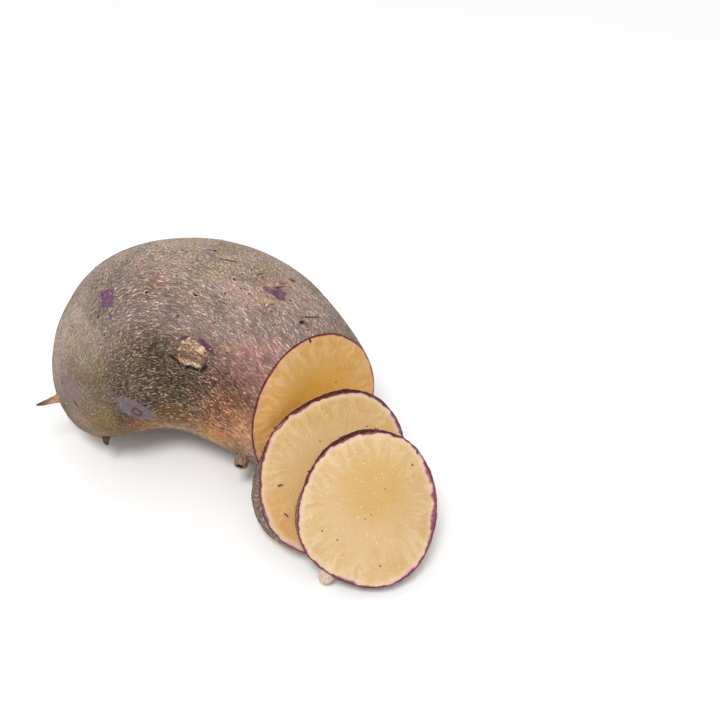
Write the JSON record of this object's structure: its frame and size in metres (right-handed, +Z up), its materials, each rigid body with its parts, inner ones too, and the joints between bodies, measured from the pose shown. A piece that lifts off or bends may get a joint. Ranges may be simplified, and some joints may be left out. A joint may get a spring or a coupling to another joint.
{
  "type": "yacon root",
  "caption": "Fat curved root with a tapering tail rootlet, cut across at one end, with its slices leaning one behind the other against the cut.",
  "frame": {"origin": "middle of the bounding box of everything, on the surface it rests on", "axes": "+X is to the right, along the root from its tail rootlet to the slices; +Y is away from the slices, from the front to the back; +Z is up"},
  "size_m": [0.1552, 0.1382, 0.0777],
  "materials": {
    "skin": "matt, dusty, taupe brown root skin with fine wrinkles",
    "flesh": "moist, pale cream to amber cut flesh"
  },
  "bodies": {
    "root": {"root": "skin", "slice_middle": "flesh", "slice_front": "flesh"}
  },
  "joints": []
}
